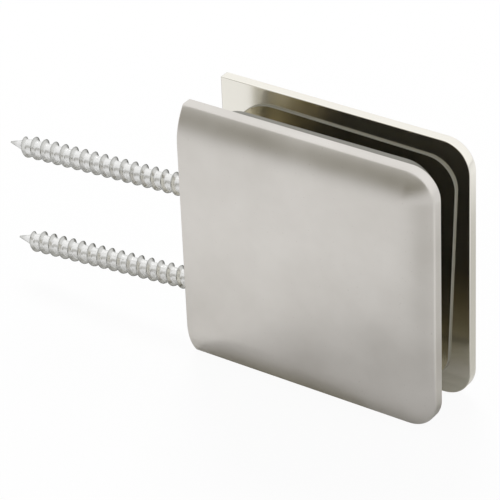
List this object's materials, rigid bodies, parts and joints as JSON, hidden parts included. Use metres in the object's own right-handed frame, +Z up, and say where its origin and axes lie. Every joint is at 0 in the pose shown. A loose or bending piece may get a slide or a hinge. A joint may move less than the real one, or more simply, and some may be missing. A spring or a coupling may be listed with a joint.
{
  "type": "glass panel clamp",
  "caption": "Square bevelled glass panel clamp: rounded plates on a base block grip a pane between clear gaskets, with long wood screws for the wall.",
  "frame": {"origin": "middle of the wall-side mounting face, midway between the plates and at half their height", "axes": "+X from the wall towards the glass, +Y from the front plate to the back plate, +Z up"},
  "size_m": [0.096, 0.0184, 0.0508],
  "materials": {
    "satin_nickel": "satin nickel plate, finely brushed outside and polished on the inner faces",
    "clear_vinyl": "clear soft vinyl sheet, glossy cut edges",
    "bright_zinc": "bright zinc-plated steel"
  },
  "bodies": {
    "root": {"clamp_body": "satin_nickel", "back_plate": "satin_nickel", "front_gasket": "clear_vinyl", "back_gasket": "clear_vinyl", "wall_screws": "bright_zinc", "clamp_screw": "bright_zinc"}
  },
  "joints": []
}
